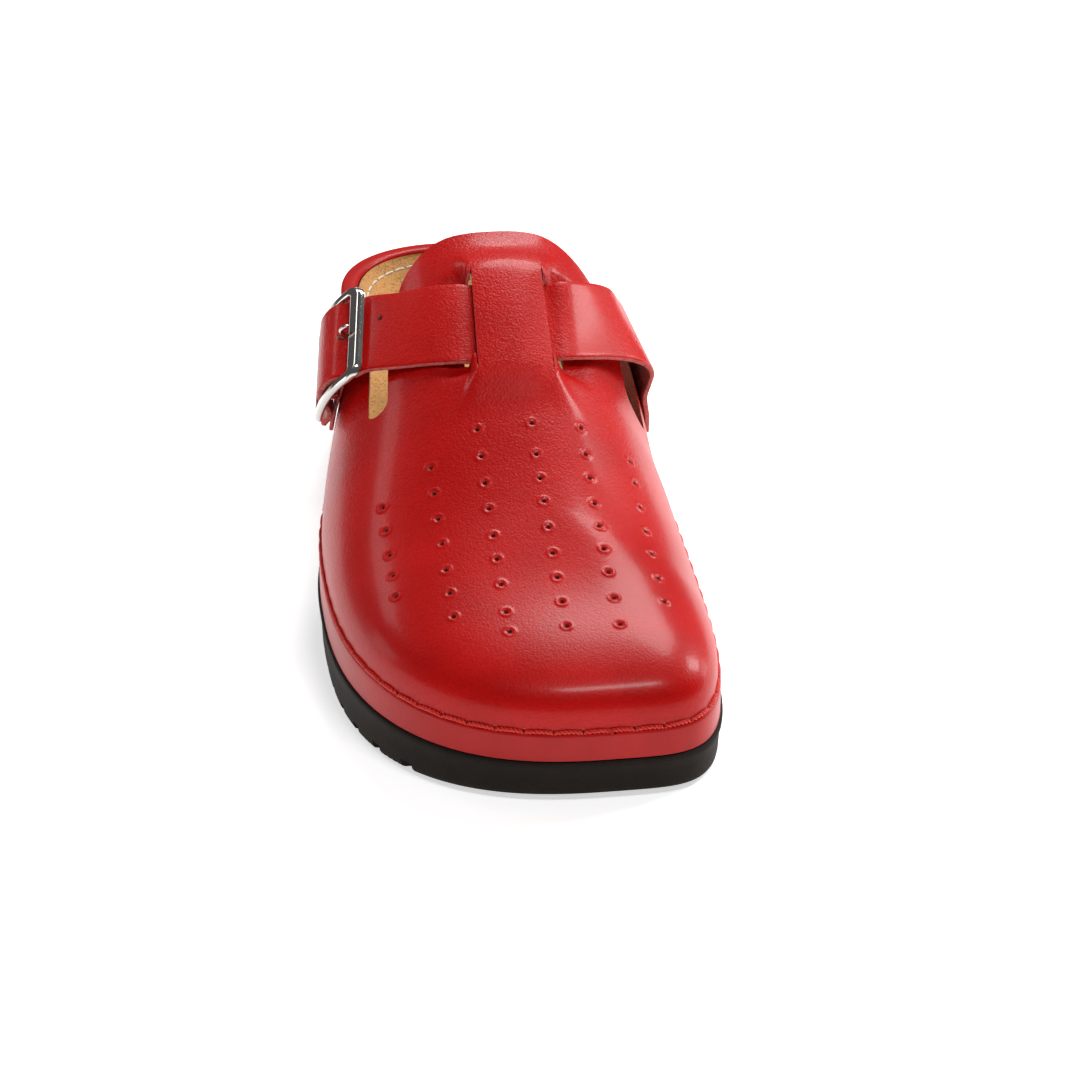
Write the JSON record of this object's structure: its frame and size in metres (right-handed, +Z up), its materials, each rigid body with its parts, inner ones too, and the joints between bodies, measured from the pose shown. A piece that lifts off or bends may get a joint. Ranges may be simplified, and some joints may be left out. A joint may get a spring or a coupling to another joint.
{
  "type": "clog",
  "caption": "Backless women's leather clog for the right foot: perforated closed vamp with tongue, instep strap threaded to a centre-bar buckle, suede footbed, leather-wrapped midsole, rubber outsole.",
  "frame": {"origin": "on the floor under the middle of the overall box", "axes": "+X towards the big-toe (medial) side, +Y from the toe to the heel, +Z up"},
  "size_m": [0.0988, 0.258, 0.0956],
  "materials": {
    "leather": "semi-gloss, fine grain",
    "strap_leather": "semi-gloss, fine grain",
    "rand_leather": "gloss",
    "suede": "suede",
    "cork": "matte",
    "rubber": "matte",
    "metal": "polished nickel"
  },
  "bodies": {
    "root": {"outsole": "rubber", "midsole": "cork", "rand": "rand_leather", "insole": "suede", "upper": "leather", "strap": "strap_leather", "buckle": "metal", "buckle_tab": "leather", "buckle_prong": "metal"}
  },
  "joints": []
}
